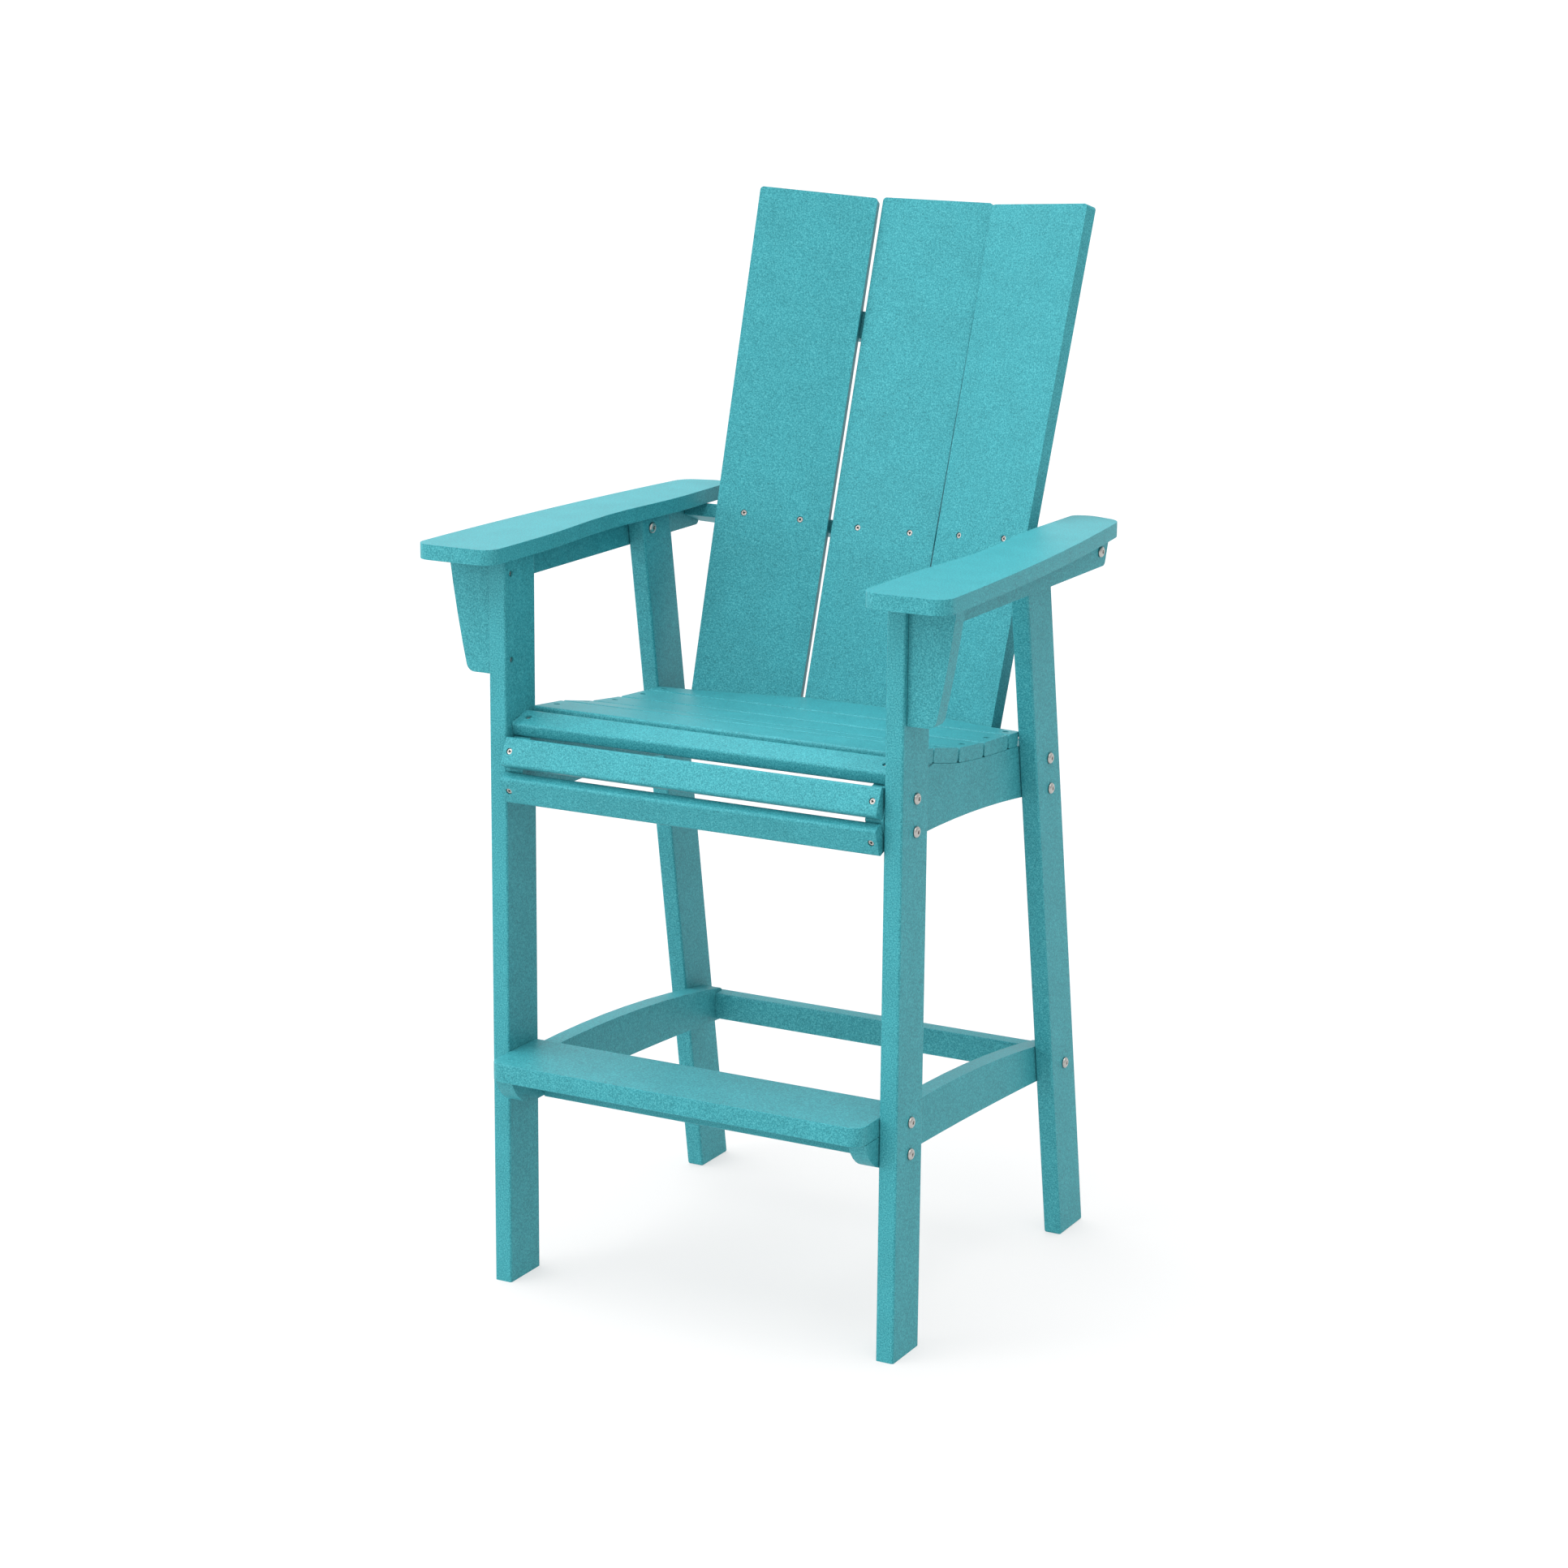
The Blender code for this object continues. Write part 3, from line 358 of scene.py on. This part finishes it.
def stainless(name, roughness):
    """Cold-headed stainless steel, tumbled: a pale warm metal with a satin, slightly uneven gloss."""
    material, shader = new_material(name)
    place = add_node(material, "ShaderNodeTexCoord").outputs["Object"]
    tumble = add_node(
        material, "ShaderNodeTexNoise", {"Vector": place, "Scale": 1 / (0.8 * MM), "Detail": 2.0}
    )
    gloss = add_node(
        material, "ShaderNodeMapRange",
        {"Value": tumble.outputs["Fac"], "To Min": roughness - 0.06, "To Max": roughness + 0.08},
    )
    link(material, gloss.outputs["Result"], shader, "Roughness")
    # Painted shade: an ambient occlusion node darkens the steel in the sockets, the cross recesses and on
    # the sunk heads.
    crannies = add_node(material, "ShaderNodeAmbientOcclusion", {"Distance": 4 * MM})
    painted_shade = add_node(
        material, "ShaderNodeMapRange",
        {"Value": crannies.outputs["AO"], "From Min": 0.3, "From Max": 0.8, "To Min": 0.04},
    )
    steel = (*bpy.context.scene.chair_fasteners.steel, 1)
    # The steel colour is darkened by this painted shade wherever the occlusion node finds close walls.
    shaded_steel = add_node(
        material, "ShaderNodeHueSaturation", {"Color": steel, "Value": painted_shade.outputs["Result"]}
    )
    link(material, shaded_steel.outputs["Color"], shader, "Base Color")
    shader.inputs["Metallic"].default_value = 1.0
    return material


def lit_acrylic():
    """A studio floor of matt opal acrylic lit from below, which leaves only faint soft shadows."""
    material, shader = new_material("lit_opal_acrylic")
    shader.inputs["Base Color"].default_value = (*bpy.context.scene.chair_studio.floor, 1)
    shader.inputs["Roughness"].default_value = 0.9
    shader.inputs["Specular IOR Level"].default_value = 0.1
    shader.inputs["Emission Color"].default_value = (1, 1, 1, 1)
    shader.inputs["Emission Strength"].default_value = FLOOR_GLOW
    return material


def material_named(name, maker, *details):
    return bpy.data.materials.get(name) or maker(*details)


def lumber_finish():
    return material_named("extruded_hdpe_lumber", poly_lumber)


# Boards


def sunk_hole(place):
    """A cutter for a screw's hole: a straight mouth over a narrower bore, from a place on a face."""
    sizes = bpy.context.scene.chair_fasteners
    mouth = sizes.screw_head / 2 + HOLE_PLAY
    bpy.ops.object.select_all(action="DESELECT")
    bpy.ops.mesh.primitive_cylinder_add(vertices=HOLE_SIDES, radius=mouth, depth=HOLE_ABOVE)
    tool = bpy.context.object
    tool.data.transform(Matrix.Translation((0, 0, HOLE_ABOVE / 2)))
    select_faces(tool, lambda face: face.normal.z < -UPRIGHT)
    draw_down(sizes.screw_sink)
    narrow = (sizes.screw_shank / 2 + HOLE_PLAY) / mouth
    draw_down(HOLE_TAPER, narrow)
    draw_down(sizes.screw_length)
    close_edit()
    tool.data.transform(place)
    return tool


def dressed_board(node, screw_places=()):
    """A board copied from its sawn solid, welded, bored for its screws and softened at its edges."""
    select_only(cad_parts[node])
    bpy.ops.object.duplicate()
    board = bpy.context.object
    board.name = node + "_board"
    board.data.name = board.name
    for key in list(board.keys()):
        del board[key]
    bpy.ops.object.mode_set(mode="EDIT")
    bpy.ops.mesh.select_all(action="SELECT")
    bpy.ops.mesh.remove_doubles(threshold=WELD)
    bpy.ops.mesh.dissolve_limited(angle_limit=FLAT_ANGLE)
    close_edit()
    for place in screw_places:
        cut(board, sunk_hole(place))
    select_only(board)
    bpy.ops.mesh.customdata_custom_splitnormals_clear()
    bpy.ops.object.shade_smooth_by_angle(angle=BOARD_SMOOTH)
    bpy.ops.object.modifier_add(type="WEIGHTED_NORMAL")
    board.modifiers[-1].keep_sharp = True
    board.modifiers[-1].mode = "FACE_AREA"
    bpy.ops.object.modifier_apply(modifier=board.modifiers[-1].name)
    hand_over(board, lumber_finish(), [node])
    return board


def top_face(node):
    """The middle and normal of the widest face of a node that looks up."""
    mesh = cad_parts[node].data
    facing = [face for face in mesh.polygons if face.normal.z > UPRIGHT]
    widest = max(facing, key=lambda face: face.area)
    flat = [face for face in facing if face.normal.dot(widest.normal) > 0.9999]
    spots = [mesh.vertices[index].co for face in flat for index in face.vertices]
    low = Vector(min(spot[i] for spot in spots) for i in range(3))
    high = Vector(max(spot[i] for spot in spots) for i in range(3))
    return (low + high) / 2, widest.normal.copy()


def standing_on(spot, normal):
    """A placing matrix at a spot, with Z along a face's normal."""
    return Matrix.Translation(spot) @ normal.to_track_quat("Z", "Y").to_matrix().to_4x4()


def seat_screw_places(node):
    """A screw sits at each end of a seat slat: in mid-width, or near the front of the rear slat."""
    middle, normal = top_face(node)
    low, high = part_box(node)
    inset = bpy.context.scene.chair_fasteners.seat_inset
    if node == "seat_rear_slat":
        front = low.y + REAR_SLAT_SCREW_FROM_FRONT * normal.z
        middle.z += (front - middle.y) * -normal.y / normal.z
        middle.y = front
    return [
        standing_on(Vector((x, middle.y, middle.z)), normal)
        for x in (low.x + inset, high.x - inset)
    ]


def bracket_screw_places(side):
    """Two screws go through a front leg into the bracket on its outer face."""
    low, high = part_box(f"arm_bracket_{side}")
    leg_low, leg_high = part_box(f"front_leg_{side}")
    left = side == "left"
    x = leg_low.x if left else leg_high.x
    normal = Vector((-1 if left else 1, 0, 0))
    y = low.y + BRACKET_SCREW_FROM_FRONT
    heights = (high.z - BRACKET_SCREW_FROM_END, low.z + BRACKET_SCREW_FROM_END)
    return [standing_on(Vector((x, y, z)), normal) for z in heights]


class CHAIR_OT_legs(bpy.types.Operator):
    """Dresses the four legs and bores the front ones for the bracket screws"""

    bl_idname = "chair.legs"
    bl_label = "Legs"

    def execute(self, context):
        for side in SIDES:
            dressed_board(f"front_leg_{side}", bracket_screw_places(side))
            dressed_board(f"rear_leg_{side}")
        return {"FINISHED"}


class CHAIR_OT_arms(bpy.types.Operator):
    """Dresses the arms, their rails and their brackets"""

    bl_idname = "chair.arms"
    bl_label = "Arms"

    def execute(self, context):
        for node in BOARDS["arms"]:
            dressed_board(node)
        return {"FINISHED"}


class CHAIR_OT_seat(bpy.types.Operator):
    """Dresses the seat rails, the aprons and the seat slats with their sunk screw holes"""

    bl_idname = "chair.seat"
    bl_label = "Seat"

    def execute(self, context):
        for node in BOARDS["seat"]:
            dressed_board(node)
        for node in SEAT_SLATS:
            dressed_board(node, seat_screw_places(node))
        return {"FINISHED"}


class CHAIR_OT_back(bpy.types.Operator):
    """Dresses the three back slats and the braces behind them"""

    bl_idname = "chair.back"
    bl_label = "Back"

    def execute(self, context):
        for node in BOARDS["back"]:
            dressed_board(node)
        return {"FINISHED"}


class CHAIR_OT_footrest(bpy.types.Operator):
    """Dresses the footrest board and the stretchers that carry it"""

    bl_idname = "chair.footrest"
    bl_label = "Footrest"

    def execute(self, context):
        for node in BOARDS["footrest"]:
            dressed_board(node)
        return {"FINISHED"}


# Fasteners


def bolt_pattern():
    """A button head with a hex socket, its underside at the origin and its crown up."""
    sizes = bpy.context.scene.chair_fasteners
    radius, height = sizes.bolt_head / 2, sizes.bolt_height
    rim = BOLT_RIM * height
    bpy.ops.object.select_all(action="DESELECT")
    bpy.ops.mesh.primitive_cylinder_add(vertices=BOLT_SIDES, radius=radius, depth=rim)
    bolt = bpy.context.object
    bolt.data.transform(Matrix.Translation((0, 0, rim / 2)))
    select_faces(bolt, lambda face: face.normal.z > UPRIGHT)
    for rise, width in BOLT_CROWN:
        bpy.ops.mesh.extrude_region_move(TRANSFORM_OT_translate={"value": (0, 0, rise * height)})
        bpy.ops.transform.resize(value=(width, width, 1))
    close_edit()
    select_faces(bolt, lambda face: face.normal.z < -UPRIGHT)
    bpy.ops.mesh.inset(thickness=radius - sizes.bolt_shank / 2)
    draw_down(BOLT_SHANK_LENGTH)
    close_edit()
    bpy.ops.object.select_all(action="DESELECT")
    bpy.ops.mesh.primitive_cylinder_add(
        vertices=6, radius=sizes.bolt_socket / 2, depth=sizes.socket_depth * 2
    )
    socket = bpy.context.object
    socket.data.transform(Matrix.Translation((0, 0, height)))
    cut(bolt, socket)
    ease_edges(bolt, BOLT_EDGE)
    bpy.ops.object.shade_smooth_by_angle(angle=STEEL_SMOOTH)
    return bolt


def recess_blade(turn):
    """A cutter for half of a cross recess, which narrows towards its floor as a cross point does."""
    bpy.ops.object.select_all(action="DESELECT")
    bpy.ops.mesh.primitive_cube_add(size=1)
    blade = bpy.context.object
    span = RECESS_SPAN * bpy.context.scene.chair_fasteners.screw_head
    blade.data.transform(Matrix.Diagonal((span, RECESS_WIDTH, 2 * RECESS_DEPTH, 1)))
    select_faces(blade, lambda face: face.normal.z < -UPRIGHT)
    bpy.ops.transform.resize(value=RECESS_FLOOR, center_override=(0, 0, -RECESS_DEPTH))
    close_edit()
    blade.data.transform(Matrix.Rotation(turn, 4, "Z"))
    return blade


def screw_pattern():
    """A flat-head screw with a cross recess, the top of its head at the origin."""
    sizes = bpy.context.scene.chair_fasteners
    bpy.ops.object.select_all(action="DESELECT")
    bpy.ops.mesh.primitive_cylinder_add(
        vertices=SCREW_SIDES, radius=sizes.screw_head / 2, depth=SCREW_RIM
    )
    screw = bpy.context.object
    screw.data.transform(Matrix.Translation((0, 0, -SCREW_RIM / 2)))
    select_faces(screw, lambda face: face.normal.z < -UPRIGHT)
    draw_down(SCREW_CONE, sizes.screw_shank / sizes.screw_head)
    draw_down(SCREW_SHANK)
    close_edit()
    for turn in (0, math.pi / 2):
        cut(screw, recess_blade(turn))
    ease_edges(screw, SCREW_EDGE)
    bpy.ops.object.shade_smooth_by_angle(angle=STEEL_SMOOTH)
    return screw


def bolt_place(node):
    """Where a bolt's head sits: its axis runs across the chair, and its head is at the wider end."""
    low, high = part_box(node)
    spots = [vertex.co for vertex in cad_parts[node].data.vertices]
    rim = [spot.x for spot in spots if abs(spot.z - high.z) < 0.2 * MM]
    outward = sum(rim) / len(rim) > (low.x + high.x) / 2
    height = bpy.context.scene.chair_fasteners.bolt_height
    x = high.x - height if outward else low.x + height
    normal = Vector((1 if outward else -1, 0, 0))
    return standing_on(Vector((x, (low.y + high.y) / 2, (low.z + high.z) / 2)), normal)


def screw_place(node):
    """Where a screw's head sits. Its point and its middle both lie on its axis."""
    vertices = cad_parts[node].data.vertices
    spots = {tuple(round(value, 6) for value in vertex.co) for vertex in vertices}
    spots = [Vector(spot) for spot in spots]
    middle = sum(spots, Vector()) / len(spots)
    point = max(spots, key=lambda spot: (spot - middle).length)
    axis = (middle - point).normalized()
    reach = max((spot - point).dot(axis) for spot in spots)
    return standing_on(point + axis * reach, axis)


class CHAIR_OT_bolts(bpy.types.Operator):
    """Makes the button-head bolts"""

    bl_idname = "chair.bolts"
    bl_label = "Bolts"

    def execute(self, context):
        pattern = bolt_pattern()
        steel = material_named("tumbled_stainless_bolts", stainless, "tumbled_stainless_bolts", 0.30)
        for node in sorted(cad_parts):
            if node.startswith("bolt_"):
                bolt = placed_copy(pattern, "button_" + node, bolt_place(node))
                hand_over(bolt, steel, [node])
        bpy.data.objects.remove(pattern, do_unlink=True)
        return {"FINISHED"}


class CHAIR_OT_screws(bpy.types.Operator):
    """Makes the sunk cross-recess screws of the back, the aprons, the seat and the brackets"""

    bl_idname = "chair.screws"
    bl_label = "Screws"

    def execute(self, context):
        pattern = screw_pattern()
        steel = material_named("tumbled_stainless_screws", stainless, "tumbled_stainless_screws", 0.36)
        sink = Matrix.Translation((0, 0, -context.scene.chair_fasteners.screw_sink))
        for number, node in enumerate(sorted(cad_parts)):
            if "_screw_" in node:
                turned = Matrix.Rotation(SCREW_TURN * number, 4, "Z")
                screw = placed_copy(pattern, "cross_" + node, screw_place(node) @ turned)
                hand_over(screw, steel, [node])
        places = [(f"{node}_screw", place) for node in SEAT_SLATS for place in seat_screw_places(node)]
        for side in SIDES:
            places += [(f"bracket_{side}_screw", place) for place in bracket_screw_places(side)]
        for number, (name, place) in enumerate(places, 1):
            turned = Matrix.Rotation(SLAT_SCREW_TURN * number, 4, "Z")
            screw = placed_copy(pattern, f"{name}_{number}", place @ sink @ turned)
            hand_over(screw, steel)
        bpy.data.objects.remove(pattern, do_unlink=True)
        return {"FINISHED"}


# Studio


def area_light(name, place, aim, size, watts):
    light = bpy.data.lights.new(name, "AREA")
    light.shape = "DISK"
    light.size = size
    light.energy = watts
    lamp = bpy.data.objects.new(name, light)
    lamp.location = place
    lamp.rotation_euler = (Vector(aim) - Vector(place)).to_track_quat("-Z", "Y").to_euler()
    bpy.context.scene.collection.objects.link(lamp)


def soft_sky(name, source, strength, spread):
    """An even light from one side, as from a large ceiling softbox, the same all over the floor."""
    light = bpy.data.lights.new(name, "SUN")
    light.energy = strength
    light.angle = spread
    lamp = bpy.data.objects.new(name, light)
    lamp.rotation_euler = Vector(source).to_track_quat("Z", "Y").to_euler()
    bpy.context.scene.collection.objects.link(lamp)


class CHAIR_OT_studio(bpy.types.Operator):
    """Sets up the pale floor, the soft lights and the camera"""

    bl_idname = "chair.studio"
    bl_label = "Studio"

    def execute(self, context):
        scene = context.scene
        studio = scene.chair_studio
        bpy.ops.object.select_all(action="DESELECT")
        bpy.ops.mesh.primitive_plane_add(size=FLOOR_WIDTH)
        floor = bpy.context.object
        floor.name = "studio_floor"
        floor.data.materials.append(lit_acrylic())

        world = bpy.data.worlds.new("studio_air")
        scene.world = world
        world.use_nodes = True
        air = world.node_tree.nodes["Background"]
        air.inputs["Color"].default_value = (1, 1, 1, 1)
        # The room is a little dimmer on the sitter's left.
        way = add_node(world, "ShaderNodeTexCoord").outputs["Generated"]
        across = add_node(world, "ShaderNodeSeparateXYZ", {"Vector": way}).outputs["X"]
        level = add_node(
            world, "ShaderNodeMapRange",
            {
                "Value": across,
                "From Min": -1.0,
                "To Min": ROOM_LIGHT_AT_RIGHT,
                "To Max": ROOM_LIGHT_AT_LEFT,
            },
        )
        world.node_tree.links.new(level.outputs["Result"], air.inputs["Strength"])
        area_light(
            "front_light", FRONT_LIGHT_PLACE, LIGHT_AIM, FRONT_LIGHT_SIZE, FRONT_LIGHT_WATTS
        )
        soft_sky("top_light", TOP_LIGHT_FROM, TOP_LIGHT_STRENGTH, TOP_LIGHT_SPREAD)
        scene.view_settings.view_transform = "Standard"

        camera = bpy.data.cameras.new("studio_camera")
        camera.lens = studio.lens
        camera.sensor_width = SENSOR_WIDTH
        holder = bpy.data.objects.new("studio_camera", camera)
        holder.location = (studio.camera_x, LEG_FACE_Y - studio.camera_y, studio.camera_z)
        turn = Matrix.Rotation(studio.turn, 3, "Z")
        dip = Matrix.Rotation(math.pi / 2 - studio.dip, 3, "X")
        roll = Matrix.Rotation(studio.roll, 3, "Z")
        holder.rotation_euler = (turn @ dip @ roll).to_euler()
        scene.collection.objects.link(holder)
        scene.camera = holder
        return {"FINISHED"}


class CHAIR_PT_panel(bpy.types.Panel):
    """Lists the chair's pieces and their sizes and colours"""

    bl_idname = "CHAIR_PT_panel"
    bl_label = "Adirondack bar chair"
    bl_space_type = "VIEW_3D"
    bl_region_type = "UI"
    bl_category = "Chair"

    def draw(self, context):
        for group, _ in SETTINGS:
            settings = getattr(context.scene, group)
            box = self.layout.box()
            for name in settings.__annotations__:
                box.prop(settings, name)
        for piece in PIECES:
            self.layout.operator(piece.bl_idname)


SETTINGS = (
    ("chair_lumber", ChairLumberSettings),
    ("chair_fasteners", ChairFastenerSettings),
    ("chair_studio", ChairStudioSettings),
)
PIECES = (
    CHAIR_OT_legs,
    CHAIR_OT_arms,
    CHAIR_OT_seat,
    CHAIR_OT_back,
    CHAIR_OT_footrest,
    CHAIR_OT_bolts,
    CHAIR_OT_screws,
    CHAIR_OT_studio,
)


def register():
    for name, settings in SETTINGS:
        bpy.utils.register_class(settings)
        setattr(bpy.types.Scene, name, bpy.props.PointerProperty(type=settings))
    for shown in (*PIECES, CHAIR_PT_panel):
        bpy.utils.register_class(shown)


def unregister():
    for shown in reversed((*PIECES, CHAIR_PT_panel)):
        bpy.utils.unregister_class(shown)
    for name, settings in reversed(SETTINGS):
        delattr(bpy.types.Scene, name)
        bpy.utils.unregister_class(settings)


def main():
    register()
    for piece in PIECES:
        group, name = piece.bl_idname.split(".")
        getattr(getattr(bpy.ops, group), name)()


if __name__ == "__main__":
    main()
